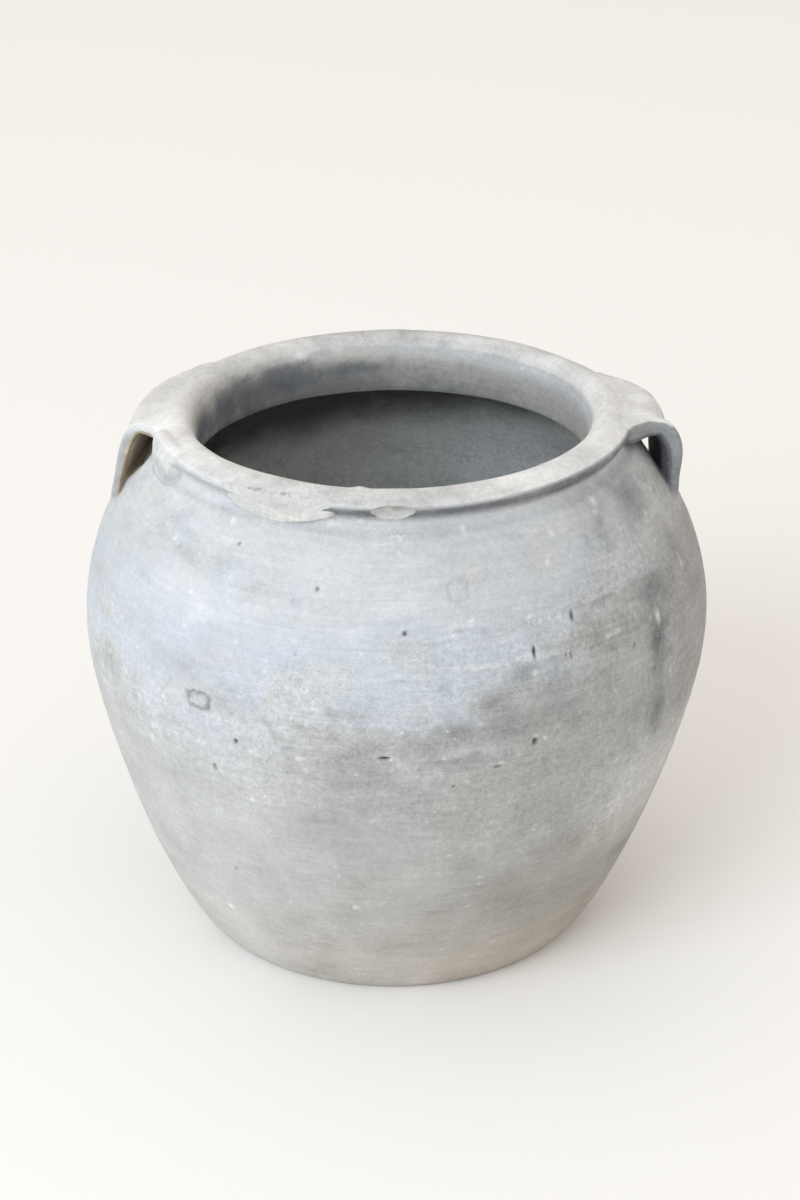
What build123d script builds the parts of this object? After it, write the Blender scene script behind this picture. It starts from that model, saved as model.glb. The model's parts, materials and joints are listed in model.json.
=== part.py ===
from build123d import *
import os
from dataclasses import dataclass
from math import cos, radians, sin, sqrt

# Two-handled earthenware jar, built from clay sections that are luted to one another.
# Millimetres, +Z up, origin in the middle of the underside, handles towards -X and +X.

# Body
foot_radius = 88.0
foot_edge_radius = 3.0
belly_radius = 140.0
belly_height = 148.0
shoulder_rise = 80.5
wall_thickness = 8.5
floor_thickness = 10.0

# Curve of the lower wall: its lean from the vertical where it leaves the foot, in degrees,
# and how far it holds that lean, and the belly's upright, before it bends
foot_lean = 48.0
foot_pull = 27.0
belly_pull = 35.0

# Mouth, with widths outwards from the throat
throat_radius = 86.0
collar_width = 20.0
collar_depth = 16.8
groove_width = 15.8
groove_rise = 4.3
lip_width = 19.5
lip_rise = 11.7
lip_edge_thickness = 5.0
lip_edge_bulge = 1.8
lip_top_drop = 2.4
crest_round = 8.5

# Luted seams: cones that climb inwards, measured from the belly's widest ring
lower_seam_drop = 50.0
upper_seam_rise = 34.0
seam_slope = 0.7
collar_seat_drop = 10.5

# Strap handles
strap_thickness = 5.5
strap_top_drop = 3.0
strap_bend = 9.0
strap_flare = 6.0
strap_taper = 2.0


@dataclass
class Strap:
    """One handle: its bearing in degrees, breadth, reach past the lip, and the drop from the neck
    to where its middle line comes to the inside of the wall."""

    bearing: float
    breadth: float
    reach: float
    heel_drop: float


straps = {
    "left_handle": Strap(bearing=175.0, breadth=48.0, reach=16.5, heel_drop=48.5),
    "right_handle": Strap(bearing=5.5, breadth=46.0, reach=24.0, heel_drop=48.5),
}

# Heights, and key points of the half section as (radius, height)
lower_seam_height = belly_height - lower_seam_drop
upper_seam_height = belly_height + upper_seam_rise
neck_height = belly_height + shoulder_rise
groove_height = neck_height + groove_rise
rim_height = groove_height + lip_rise
lip_top_height = rim_height - lip_top_drop
foot = Vector(foot_radius, 0)
belly = Vector(belly_radius, belly_height)
neck = Vector(throat_radius + collar_width, neck_height)
groove = Vector(throat_radius + groove_width, groove_height)
lip_under = Vector(throat_radius + lip_width - lip_edge_bulge, lip_top_height - lip_edge_thickness)
lip_edge = Vector(throat_radius + lip_width, lip_top_height - lip_edge_thickness / 2)
lip_top = Vector(lip_under.X, lip_top_height)
crest = Vector(throat_radius + crest_round, rim_height)
throat_foot = Vector(throat_radius, groove_height - collar_depth)
throat_seam = Vector(throat_radius, groove_height)
throat_top = Vector(throat_radius, rim_height - crest_round)

# The shoulder is an arc that leaves the belly upright and passes through the neck
shoulder_run = belly.X - neck.X
shoulder_radius = (shoulder_run**2 + shoulder_rise**2) / (2 * shoulder_run)
shoulder_axis = belly.X - shoulder_radius


def lower_curve(inset):
    """Line of the lower wall from foot to belly, moved into the clay by the inset."""
    lean = Vector(sin(radians(foot_lean)), cos(radians(foot_lean)))
    start = foot + Vector(-lean.Y, lean.X) * inset
    end = belly - Vector(inset, 0)
    shrink = (end - start).length / (belly - foot).length
    start_pull = start + lean * (foot_pull * shrink)
    end_pull = end - Vector(0, belly_pull * shrink)
    return Bezier(start, start_pull, end_pull, end)


def shoulder_point(height, inset):
    """Point of the shoulder line at a height, moved into the clay by the inset."""
    half_chord = sqrt((shoulder_radius - inset) ** 2 - (height - belly_height) ** 2)
    return Vector(shoulder_axis + half_chord, height)


def shoulder_curve(inset, top_height):
    """Line of the shoulder from the belly up to a height, moved into the clay by the inset."""
    start = belly - Vector(inset, 0)
    middle = shoulder_point((belly_height + top_height) / 2, inset)
    return ThreePointArc(start, middle, shoulder_point(top_height, inset))


# Inner corner of the shoulder's bevelled edge, which the collar seats on
collar_seat = shoulder_point(neck_height - collar_seat_drop, wall_thickness)


def neck_curve():
    """Hollow of the neck from the groove down to the shoulder."""
    return TangentArc(groove, neck, tangent=(0, -1))


def lip_curves():
    """Outside of the rim from the groove, round the lip and up to the crest."""
    return [
        Line(groove, lip_under),
        ThreePointArc(lip_under, lip_edge, lip_top),
        TangentArc(crest, lip_top, tangent=(1, 0)),
    ]


def wall_section():
    """Half section of floor and wall, up to the bevelled edge that takes the collar."""
    outside = [lower_curve(0), shoulder_curve(0, neck_height)]
    inside = [lower_curve(wall_thickness), shoulder_curve(wall_thickness, collar_seat.Y)]
    ends = [Line(foot, inside[0] @ 0), Line(neck, collar_seat)]
    floor = Pos(foot_radius / 2, floor_thickness / 2) * Rectangle(foot_radius, floor_thickness)
    section = make_face(outside + inside + ends) + floor
    corner = section.vertices().sort_by_distance(foot)[0]
    return fillet(corner, foot_edge_radius)


def seam_height(seam, radius):
    """Height of a seam's cone at a radius."""
    return seam + seam_slope * (belly_radius - radius)


def course(lower_seam, upper_seam):
    """Half section of the wall between two seams."""
    inner = 0
    outer = belly_radius + wall_thickness
    corners = [
        (inner, seam_height(lower_seam, inner)),
        (outer, seam_height(lower_seam, outer)),
        (outer, seam_height(upper_seam, outer)),
        (inner, seam_height(upper_seam, inner)),
    ]
    return wall_section() & make_face(Polyline(*corners, close=True))


def collar_section():
    """Half section of the coil set into the mouth of the shoulder."""
    flats = [
        Line(throat_foot, throat_seam),
        Line(throat_seam, groove),
        Line(neck, collar_seat),
        Line(collar_seat, throat_foot),
    ]
    return make_face([neck_curve()] + flats)


def rim_section():
    """Half section of the rim coil with its rounded crest and lip."""
    throat_round = TangentArc(throat_top, crest, tangent=(0, 1))
    flats = [Line(groove, throat_seam), Line(throat_seam, throat_top)]
    return make_face(lip_curves() + [throat_round] + flats)


def mouth_section():
    """Half section of everything inside the outer skin from the belly up."""
    axis_top = Vector(0, rim_height)
    axis_foot = Vector(0, belly_height)
    skin = [shoulder_curve(0, neck_height), neck_curve()] + lip_curves()
    flats = [Line(crest, axis_top), Line(axis_top, axis_foot), Line(axis_foot, belly)]
    return make_face(skin + flats)


def turned(section):
    """Solid made by turning a half section about the jar's axis."""
    return revolve(Plane.XZ * section, axis=Axis.Z)


def strap_section(strap):
    """Section along a handle: a bent strap from lip to shoulder, cut to lie face to face on the jar."""
    top_height = rim_height - strap_top_drop - strap_thickness / 2
    root = Vector(crest.X, top_height)
    bend = Vector(lip_edge.X + strap.reach - strap_thickness / 2, top_height)
    heel = shoulder_point(neck_height - strap.heel_drop, wall_thickness)
    path = FilletPolyline(root, bend, heel, radius=strap_bend)
    return trace(path, line_width=strap_thickness) - mouth_section()


def strap_plan(strap):
    """Outline of a handle seen from above, which spreads where it meets the lip."""
    half = strap.breadth / 2
    flare_end = Vector(lip_edge.X + strap_flare, half)
    flare_start = flare_end + Vector(-lip_width, lip_width)
    axis_side = Vector(0, flare_start.Y)
    outer = Vector(belly_radius + strap.reach, half - strap_taper)
    side = [axis_side, flare_start, flare_end, outer]
    other_side = [Vector(corner.X, -corner.Y) for corner in reversed(side)]
    return make_face(Polyline(*side, *other_side, close=True))


def handle(strap):
    """Strap that follows the curve of the rim, trimmed to its outline from above."""
    half_ring = Rot(0, 0, -90) * revolve(Plane.XZ * strap_section(strap), Axis.Z, 180)
    band = half_ring & extrude(strap_plan(strap), amount=rim_height)
    return Rot(0, 0, strap.bearing) * band


floor_seam = floor_thickness - seam_slope * (belly_radius - foot_radius)
below_floor = floor_seam - belly_radius
above_neck = upper_seam_height + rim_height

pieces = {
    "floor_disc": turned(course(below_floor, floor_seam)),
    "lower_wall": turned(course(floor_seam, lower_seam_height)),
    "belly_wall": turned(course(lower_seam_height, upper_seam_height)),
    "shoulder_wall": turned(course(upper_seam_height, above_neck)),
    "neck_collar": turned(collar_section()),
    "rim_lip": turned(rim_section()),
}
for name, strap in straps.items():
    pieces[name] = handle(strap)

os.makedirs("parts", exist_ok=True)
for name, piece in pieces.items():
    export_step(piece, f"parts/{name}.step")
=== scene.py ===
"""Worn grey earthenware jar with two strap handles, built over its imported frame."""

import json
import math
from dataclasses import dataclass

import bpy
import numpy as np
from bpy.props import FloatProperty, FloatVectorProperty, PointerProperty
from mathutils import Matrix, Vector


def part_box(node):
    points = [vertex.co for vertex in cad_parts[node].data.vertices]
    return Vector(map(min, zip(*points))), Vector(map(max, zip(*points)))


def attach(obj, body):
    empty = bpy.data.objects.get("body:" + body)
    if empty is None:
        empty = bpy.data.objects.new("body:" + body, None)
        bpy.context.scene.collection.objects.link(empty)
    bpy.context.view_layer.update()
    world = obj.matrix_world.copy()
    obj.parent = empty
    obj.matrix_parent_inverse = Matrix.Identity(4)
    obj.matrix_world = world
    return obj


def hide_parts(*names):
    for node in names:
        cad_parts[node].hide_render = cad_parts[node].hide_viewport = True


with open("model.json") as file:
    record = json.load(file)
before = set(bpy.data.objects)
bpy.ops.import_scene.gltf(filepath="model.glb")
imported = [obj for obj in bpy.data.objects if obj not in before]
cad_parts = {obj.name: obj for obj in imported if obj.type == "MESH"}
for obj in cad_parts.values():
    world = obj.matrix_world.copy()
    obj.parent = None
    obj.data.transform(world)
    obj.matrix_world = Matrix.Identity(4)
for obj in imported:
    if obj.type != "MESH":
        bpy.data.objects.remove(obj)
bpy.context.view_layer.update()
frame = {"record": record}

bl_info = {
    "name": "Grey Earthenware Jar",
    "version": (1, 0, 0),
    "blender": (4, 5, 0),
    "location": "View3D > Sidebar > Jar",
    "description": "Builds a worn clay jar with two strap handles over its packed frame",
    "category": "Add Mesh",
}

# Metres throughout. Bearings run from the front, -Y, towards the right, +X, in degrees.
MM = 0.001
MOUNTS = {mount["name"]: mount for mount in frame["record"]["mounts"]}


def node_low(node):
    """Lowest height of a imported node."""
    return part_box(node)[0].z


def node_high(node):
    """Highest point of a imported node."""
    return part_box(node)[1].z


def node_reach(node):
    """Greatest radius of a turned node."""
    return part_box(node)[1].x


def length(name, description, default):
    """Property that holds a size in metres."""
    return FloatProperty(name=name, description=description, default=default, unit="LENGTH", precision=5)


def angle(name, description, default):
    """Property that holds an angle, given in degrees."""
    return FloatProperty(name=name, description=description, default=math.radians(default), unit="ROTATION")


def colour(name, description, default):
    """Property that holds a colour, given as seen on a screen."""
    return FloatVectorProperty(
        name=name, description=description, default=default, subtype="COLOR_GAMMA", size=3, min=0, max=1
    )


class JarShape(bpy.types.PropertyGroup):
    """Sizes of the jar's clay."""

    foot_radius: length("Foot radius", "Radius of the flat foot", 88 * MM)
    belly_radius: length("Belly radius", "Radius of the widest ring", node_reach("belly_wall"))
    belly_height: length("Belly height", "Height of the widest ring", 148 * MM)
    neck_radius: length("Neck radius", "Radius where shoulder and neck meet", node_reach("neck_collar"))
    groove_radius: length("Groove radius", "Radius of the hollow under the lip", 101.8 * MM)
    lip_radius: length("Lip radius", "Radius of the lip's edge", node_reach("rim_lip"))
    throat_radius: length("Throat radius", "Radius of the mouth", MOUNTS["throat"]["dims"]["r_mm"] * MM)
    crest_round: length("Crest round", "Width of the rounding from throat to crest", 8.5 * MM)
    crest_roll: length("Crest roll", "Height of the rounding from throat to crest", 14 * MM)
    lip_edge: length("Lip edge", "Thickness of the lip's outer edge", 5 * MM)
    lip_drop: length("Lip drop", "Fall from the crest to the lip's edge", 2.4 * MM)
    wall: length("Wall", "Thickness of the wall", 8.5 * MM)
    floor: length("Floor", "Thickness of the floor", 10 * MM)
    collar_drop: length("Collar drop", "Depth of the collar's seat below the neck", 10.5 * MM)
    collar_round: length("Collar round", "Rounding of the collar's lower inner edge", 3.5 * MM)
    foot_lean: angle("Foot lean", "Lean of the wall where it leaves the foot", 48)
    foot_pull: length("Foot pull", "How far the wall holds its lean above the foot", 27 * MM)
    belly_pull: length("Belly pull", "How far the wall stays upright below the belly", 35 * MM)
    stray: length("Stray", "How far the hand-built wall strays from a true turned one", 0.9 * MM)
    lean: length("Lean", "How far the belly stands to the right of foot and mouth", 1.5 * MM)
    tilt: angle("Tilt", "Rise of the mouth towards the right", 0.4)
    droop: length("Droop", "Fall of the lip at the back", 1.3 * MM)


class JarClay(bpy.types.PropertyGroup):
    """Colours of the fired clay and its wear."""

    grey: colour("Grey", "Rough grey clay of belly and lower wall", (0.655, 0.657, 0.652))
    blue: colour("Blue", "Wiped bluish clay of the belly", (0.712, 0.738, 0.768))
    ash: colour("Ash", "Pale dusty clay of shoulder and left side", (0.755, 0.763, 0.769))
    earth: colour("Earth", "Brownish clay of the lower wall", (0.640, 0.632, 0.612))
    foot: colour("Foot", "Brown clay next to the foot", (0.718, 0.692, 0.656))
    rim: colour("Rim", "Pale worn clay on the rim", (0.835, 0.835, 0.832))
    worn: colour("Worn", "Worn clay on the right of the rim", (0.842, 0.845, 0.842))
    fresh: colour("Fresh", "Pale clay inside a break", (0.745, 0.748, 0.742))
    cream: colour("Cream", "Cream clay on the ridges of a break", (0.800, 0.794, 0.772))
    pale: colour("Pale", "White bloom and flakes", (0.860, 0.865, 0.862))
    # This dark also paints the shade at the bottoms of pits, in the creases of breaks, along score lines and deep in
    # the left handle's eye; the rim crack takes it too.
    pit: colour("Pit", "Bottom of a pit", (0.130, 0.115, 0.100))
    # This colour also paints the shade under the lip, on the handles' fronts, in and under the handles and on the
    # small chip.
    stain_and_shade: colour("Stain", "Dark stain on the outside", (0.440, 0.450, 0.465))
    sand: colour("Sand", "Sandy clay inside a handle", (0.760, 0.710, 0.620))
    inside: colour("Inside", "Smoked clay of the inside", (0.766, 0.776, 0.773))
    ochre: colour("Ochre", "Ochre-grey clay at the top of the throat", (0.750, 0.748, 0.730))
    smoke: colour("Smoke", "Smoked clay at the foot of the throat", (0.470, 0.475, 0.475))
    # This colour also paints the shade on the inside wall below the collar on the left.
    soot_and_shade: colour("Soot", "Blue-black smoke stain in the throat", (0.345, 0.368, 0.402))
    # This black paints the shade below the collar inside, together with some soot.
    black: colour("Black", "Soot under the collar", (0.140, 0.140, 0.140))


class JarStage(bpy.types.PropertyGroup):
    """Floor, light and camera."""

    floor: colour("Floor", "Pale floor", (0.962, 0.960, 0.952))
    window: FloatProperty(
        name="Window", description="Power of the soft light at the front left", default=85, unit="POWER"
    )
    sky: FloatProperty(name="Sky", description="Strength of the light from all round", default=0.875)
    window_tint: colour("Window tint", "Cool daylight", (0.915, 0.960, 1.000))
    sky_tint: colour("Sky tint", "Warm light of the room", (1.000, 0.976, 0.952))
    distance: length("Distance", "From the camera to the point it looks at", 1283.4 * MM)
    aim: length("Aim", "Height of the point that the camera looks at", 149.7 * MM)
    aside: length("Aside", "How far the camera stands to the right of the jar's axis", 3.4 * MM)
    lift: angle("Lift", "Elevation of the camera", 25.3)
    lens: FloatProperty(name="Lens", description="Focal length", default=85, unit="CAMERA")


# Shapes


class Grain:
    """Smooth repeatable noise from a seeded lattice, between -1 and 1."""

    cells = 64

    def __init__(self, seed):
        self.lattice = np.random.default_rng(seed).uniform(-1, 1, (self.cells,) * 3)

    def __call__(self, points, size):
        place = points / size
        cell = np.floor(place).astype(int)
        ease = place - cell
        ease = ease * ease * (3 - 2 * ease)
        total = 0
        for corner in np.ndindex(2, 2, 2):
            share = np.where(corner, ease, 1 - ease).prod(axis=-1)
            index = (cell + corner) % self.cells
            total = total + share * self.lattice[tuple(np.moveaxis(index, -1, 0))]
        return total


lumps = Grain(seed=11)
crumbs = Grain(seed=23)


@dataclass
class Chip:
    """Flake broken off the lip: bearing and half width in degrees, the way its face looks in degrees
    above level, the hollow radius of that face, how near it comes to the lip's core, and how much painted shadow, in
    the stain colour, falls on its break under the lip's edge."""

    bearing: float
    half_width: float
    facing: float
    hollow: float
    bite: float
    stain_and_shade: float = 0.0


@dataclass
class Pit:
    """Pit, slit or dent in the outside: bearing in degrees, height, half width, half height and depth,
    how dark its bottom is in painted shade, and whether only its outline is sunk."""

    bearing: float
    height: float
    wide: float
    tall: float
    depth: float
    dark: float = 0.0
    outline: bool = False


@dataclass
class Spot:
    """Patch of colour on the outside: bearing in degrees, height, half width, half height and strength."""

    bearing: float
    height: float
    wide: float
    tall: float
    strength: float


@dataclass
class Score:
    """Line wiped into the outside along a ring: height, first and last bearing in degrees, depth, half width,
    and how strong its painted shade is below a painted highlight along its upper edge."""

    height: float
    first: float
    last: float
    depth: float
    half_width: float
    edge: float = 0.0


CHIPS = (
    Chip(-29.5, 16.5, 44, 40 * MM, 6.6 * MM),
    Chip(-27, 16, 13, 80 * MM, 6.1 * MM),
    Chip(0.3, 6.6, -6, 6 * MM, 5.4 * MM, 0.75),
)

# Clay that closes the groove below the large chip: where it begins and ends on the left and on the right in
# degrees, the bearing and height of its lowest place, its highest line, and its radius at the lowest place
BRIDGE = (-43, -38, -14.5, -12.5)
BRIDGE_MIDDLE, BRIDGE_LOW, BRIDGE_HIGH, BRIDGE_RADIUS = -28, 230.2 * MM, 239 * MM, 105.2 * MM

PITS = (
    Pit(-27.6, 143.5 * MM, 1.0 * MM, 1.0 * MM, 1.6 * MM, 1.0),
    Pit(-33.6, 220.6 * MM, 0.9 * MM, 0.7 * MM, 0.6 * MM, 0.6),
    Pit(-14.4, 210.5 * MM, 0.9 * MM, 0.8 * MM, 0.7 * MM, 0.6),
    Pit(-18.8, 205.4 * MM, 0.7 * MM, 0.6 * MM, 0.4 * MM, 0.3),
    Pit(-17.0, 185.6 * MM, 0.7 * MM, 0.6 * MM, 0.4 * MM, 0.3),
    Pit(2.4, 195.9 * MM, 1.0 * MM, 1.0 * MM, 1.1 * MM, 0.8),
    Pit(1.0, 196.2 * MM, 3.2 * MM, 2.6 * MM, 0.35 * MM),
    Pit(25.0, 145.3 * MM, 1.2 * MM, 1.5 * MM, 1.3 * MM, 0.8),
    Pit(47.8, 172.4 * MM, 1.0 * MM, 1.3 * MM, 0.6 * MM, 0.4),
    Pit(52.8, 157.9 * MM, 0.9 * MM, 1.4 * MM, 0.6 * MM, 0.4),
    Pit(-1.2, 144.2 * MM, 2.4 * MM, 0.7 * MM, 1.0 * MM, 1.0),
    Pit(18.2, 136.3 * MM, 1.8 * MM, 0.7 * MM, 0.7 * MM, 0.6),
    Pit(10.6, 128.9 * MM, 0.9 * MM, 0.7 * MM, 0.5 * MM, 0.4),
    Pit(-35.4, 126.2 * MM, 4.6 * MM, 2.4 * MM, 1.1 * MM),
    Pit(-32.8, 126.8 * MM, 1.0 * MM, 2.2 * MM, 0.9 * MM, 0.6),
    Pit(-38.8, 130.1 * MM, 2.6 * MM, 1.6 * MM, 0.5 * MM, 0.1),
    Pit(25.8, 183.4 * MM, 0.65 * MM, 2.5 * MM, 1.4 * MM, 1.0),
    Pit(24.0, 182.6 * MM, 2.2 * MM, 1.8 * MM, 0.5 * MM, 0.1),
    Pit(34.8, 193.2 * MM, 0.9 * MM, 2.0 * MM, 0.9 * MM, 0.8),
    Pit(33.0, 178.5 * MM, 0.6 * MM, 1.7 * MM, 0.5 * MM, 0.5),
    Pit(32.0, 178.9 * MM, 0.6 * MM, 1.5 * MM, 0.4 * MM, 0.4),
    Pit(45.2, 214.9 * MM, 3.0 * MM, 2.6 * MM, 0.9 * MM),
    Pit(50.8, 220.1 * MM, 3.4 * MM, 2.0 * MM, 0.8 * MM, 0.2),
    Pit(-35.4, 157.3 * MM, 5.6 * MM, 3.5 * MM, 0.9 * MM, 0.5, outline=True),
    Pit(13.0, 210.0 * MM, 4.2 * MM, 3.9 * MM, 0.35 * MM, 0.12, outline=True),
    Pit(-33.4, 69.5 * MM, 1.2 * MM, 1.0 * MM, 0.6 * MM, 0.4),
    Pit(-12.6, 153.7 * MM, 3.0 * MM, 1.2 * MM, 0.4 * MM, 0.1),
    Pit(-11.4, 139.9 * MM, 4.2 * MM, 1.4 * MM, 0.5 * MM, 0.1),
    Pit(9.2, 173.6 * MM, 3.0 * MM, 1.6 * MM, 0.5 * MM, 0.15),
    Pit(23.2, 113.9 * MM, 2.6 * MM, 1.8 * MM, 0.5 * MM, 0.15),
)

# Hollows pressed into the shoulder inside the handles, the right and the left
PRESSED = (
    Pit(101.0, 213.0 * MM, 21.0 * MM, 8.0 * MM, 3.4 * MM),
    Pit(-91.0, 224.0 * MM, 13.0 * MM, 8.5 * MM, 3.6 * MM),
)

FLAKES = (
    Spot(24.2, 182.4 * MM, 1.9 * MM, 1.4 * MM, 0.6),
    Spot(25.4, 175.3 * MM, 1.8 * MM, 1.2 * MM, 0.7),
    Spot(51.8, 226.8 * MM, 1.6 * MM, 1.4 * MM, 0.9),
    Spot(-37.6, 226.8 * MM, 1.3 * MM, 1.2 * MM, 0.8),
    Spot(16.2, 228.9 * MM, 1.4 * MM, 1.2 * MM, 0.8),
    Spot(36.2, 222.6 * MM, 1.3 * MM, 1.3 * MM, 0.8),
    Spot(-39.8, 40.4 * MM, 1.8 * MM, 1.4 * MM, 0.8),
    Spot(-7.6, 59.6 * MM, 1.3 * MM, 1.2 * MM, 0.8),
    Spot(1.2, 228.0 * MM, 5.0 * MM, 2.0 * MM, 0.8),
    Spot(-0.4, 224.6 * MM, 6.5 * MM, 2.2 * MM, 0.7),
    Spot(26.6, 194.8 * MM, 6.0 * MM, 1.0 * MM, 0.6),
    Spot(-15.8, 140.8 * MM, 2.4 * MM, 1.2 * MM, 0.5),
    Spot(-12.0, 141.2 * MM, 4.0 * MM, 1.0 * MM, 0.5),
    Spot(-12.6, 153.7 * MM, 3.0 * MM, 1.0 * MM, 0.4),
    Spot(25.0, 147.6 * MM, 1.8 * MM, 0.8 * MM, 0.6),
    Spot(55.6, 178.5 * MM, 1.8 * MM, 3.0 * MM, 0.9),
    Spot(50.2, 223.5 * MM, 3.5 * MM, 1.2 * MM, 0.5),
    Spot(70.0, 190.1 * MM, 1.0 * MM, 3.0 * MM, 0.6),
    Spot(-14.5, 233.0 * MM, 5.0 * MM, 3.0 * MM, 0.5),
    Spot(-22.0, 231.0 * MM, 12.0 * MM, 1.6 * MM, 0.4),
)

# Pale flecks on the inner edge of the rim, at the back
BRIM_FLECKS = (
    Spot(-150.8, 239.3 * MM, 4.2 * MM, 1.8 * MM, 1.0),
    Spot(-163.0, 239.2 * MM, 2.6 * MM, 1.2 * MM, 0.8),
)

SOOT_AND_SHADE = (
    Spot(-166, 230 * MM, 24 * MM, 5 * MM, 0.7),
    Spot(-142, 232.5 * MM, 24 * MM, 9 * MM, 0.95),
    Spot(-124, 231 * MM, 24 * MM, 10 * MM, 0.9),
    Spot(-98, 229 * MM, 24 * MM, 11 * MM, 0.85),
    Spot(172, 237 * MM, 20 * MM, 4 * MM, 0.2),
    Spot(150, 237 * MM, 22 * MM, 5 * MM, 0.65),
    Spot(128, 234 * MM, 14 * MM, 4 * MM, 0.3),
    # Painted shade on the inside wall below the collar on the left, with some soot.
    Spot(-110, 190 * MM, 60 * MM, 40 * MM, 0.85),
)

STAINS_AND_SHADE = (
    Spot(56.0, 190.0 * MM, 10.0 * MM, 6.5 * MM, 0.60),
    Spot(54.6, 170.0 * MM, 7.0 * MM, 10.0 * MM, 0.95),
    Spot(54.4, 157.0 * MM, 2.6 * MM, 9.0 * MM, 0.5),
    Spot(54.4, 138.4 * MM, 5.5 * MM, 11.0 * MM, 0.75),
    Spot(70.0, 196.0 * MM, 7.0 * MM, 8.0 * MM, 0.25),
    Spot(72.0, 180.0 * MM, 7.0 * MM, 10.0 * MM, 0.2),
    Spot(11.0, 155.5 * MM, 9.0 * MM, 5.0 * MM, 0.6),
    Spot(17.2, 166.0 * MM, 8.0 * MM, 5.5 * MM, 0.5),
    Spot(23.8, 175.4 * MM, 8.0 * MM, 4.5 * MM, 0.55),
    Spot(29.5, 168.0 * MM, 13.0 * MM, 8.0 * MM, 0.42),
    Spot(30.0, 159.0 * MM, 12.0 * MM, 7.0 * MM, 0.38),
    Spot(18.0, 159.0 * MM, 11.0 * MM, 6.0 * MM, 0.4),
    Spot(6.0, 150.0 * MM, 12.0 * MM, 6.5 * MM, 0.42),
    Spot(-5.0, 138.5 * MM, 14.0 * MM, 6.0 * MM, 0.34),
    Spot(-6.0, 163.0 * MM, 9.0 * MM, 6.0 * MM, 0.24),
    Spot(-39.0, 169.0 * MM, 17.0 * MM, 7.0 * MM, 0.24),
    Spot(-30.0, 160.0 * MM, 15.0 * MM, 8.0 * MM, 0.24),
    Spot(-34.0, 144.0 * MM, 24.0 * MM, 11.0 * MM, 0.17),
    # Painted shadow under the lip in front of the right handle's root.
    Spot(64.0, 222.0 * MM, 15.0 * MM, 9.0 * MM, 0.6),
    Spot(52.0, 224.0 * MM, 11.0 * MM, 6.0 * MM, 0.3),
    Spot(12.0, 141.0 * MM, 18.0 * MM, 4.0 * MM, 0.5),
    Spot(20.0, 152.0 * MM, 12.0 * MM, 4.0 * MM, 0.35),
    Spot(48.0, 216.0 * MM, 9.0 * MM, 6.0 * MM, 0.35),
    # Dark on the wall under the handles: dirt in part, painted shade in part.
    Spot(98.0, 216.0 * MM, 14.0 * MM, 13.0 * MM, 1.0),
    Spot(-98.0, 216.0 * MM, 14.0 * MM, 12.0 * MM, 0.8),
    Spot(-6.0, 132.0 * MM, 16.0 * MM, 4.0 * MM, 0.25),
)

SCORES = (
    Score(101.8 * MM, -34, 8, 0.32 * MM, 0.8 * MM),
    Score(113.0 * MM, -16, 30, 0.28 * MM, 0.7 * MM),
    Score(195.0 * MM, 6, 54, 0.45 * MM, 0.7 * MM, 0.17),
    Score(191.0 * MM, -2, 16, 0.25 * MM, 0.6 * MM, 0.12),
    Score(178.8 * MM, 4, 54, 0.45 * MM, 0.8 * MM, 0.16),
    Score(176.4 * MM, -4, 20, 0.28 * MM, 0.7 * MM, 0.12),
    Score(187.6 * MM, -28, 28, 0.22 * MM, 0.7 * MM),
    Score(173.4 * MM, -34, 12, 0.24 * MM, 0.7 * MM),
    Score(161.0 * MM, -20, 24, 0.30 * MM, 0.8 * MM),
    Score(206.0 * MM, -30, 6, 0.20 * MM, 0.7 * MM),
)

# Crack across the rim on the left, as (radius, bearing)
RIM_CRACK = ((100.8 * MM, -102.5), (96.3 * MM, -107.7), (92.5 * MM, -116.9))

RIM_CORE = (96.5 * MM, 237.5 * MM)
RIM_REACH = 10.5 * MM


def ease(low, high, value):
    """Smooth step from 0 at low to 1 at high."""
    t = np.clip((value - low) / (high - low), 0, 1)
    return t * t * (3 - 2 * t)


def around(bearing, radius, height):
    """Points of the room from bearings in radians, radii and heights."""
    return np.stack(np.broadcast_arrays(radius * np.sin(bearing), -radius * np.cos(bearing), height), axis=-1)


def bezier(start, start_pull, end_pull, end):
    """Points of a cubic curve."""
    t = np.linspace(0, 1, 120)[:, None]
    near = (1 - t) ** 3 * start + 3 * (1 - t) ** 2 * t * start_pull
    return near + 3 * (1 - t) * t**2 * end_pull + t**3 * end


def arc(centre, radius, start, end):
    """Points of an arc between two angles in radians."""
    turn = np.linspace(start, end, 60)[:, None]
    return centre + radius * np.hstack([np.cos(turn), np.sin(turn)])


def heading(vector):
    """Angle of a vector in the half section."""
    return math.atan2(vector[1], vector[0])


STEP = 0.25 * MM
SOFTNESS = 4


def spaced(corners):
    """Line through corners, as points at an even step."""
    gaps = np.linalg.norm(np.diff(corners, axis=0), axis=1)
    corners = corners[np.append(True, gaps > 1e-9)]
    along = np.append(0, np.cumsum(np.linalg.norm(np.diff(corners, axis=0), axis=1)))
    even = np.linspace(0, along[-1], round(along[-1] / STEP))
    return np.column_stack([np.interp(even, along, values) for values in corners.T])


def softened(points, softness=SOFTNESS):
    """The same line with its corners rubbed round."""
    reach = np.arange(-3 * softness, 3 * softness + 1)
    weights = np.exp(-0.5 * (reach / softness) ** 2)
    weights /= weights.sum()
    padded = np.pad(points, ((len(reach) // 2,) * 2, (0, 0)), mode="reflect", reflect_type="odd")
    return np.column_stack([np.convolve(values, weights, mode="valid") for values in padded.T])


def line_normals(points):
    """Normals on the right-hand side of a line."""
    slope = np.gradient(points, axis=0)
    slope /= np.linalg.norm(slope, axis=1)[:, None]
    return np.column_stack([slope[:, 1], -slope[:, 0]])


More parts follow.
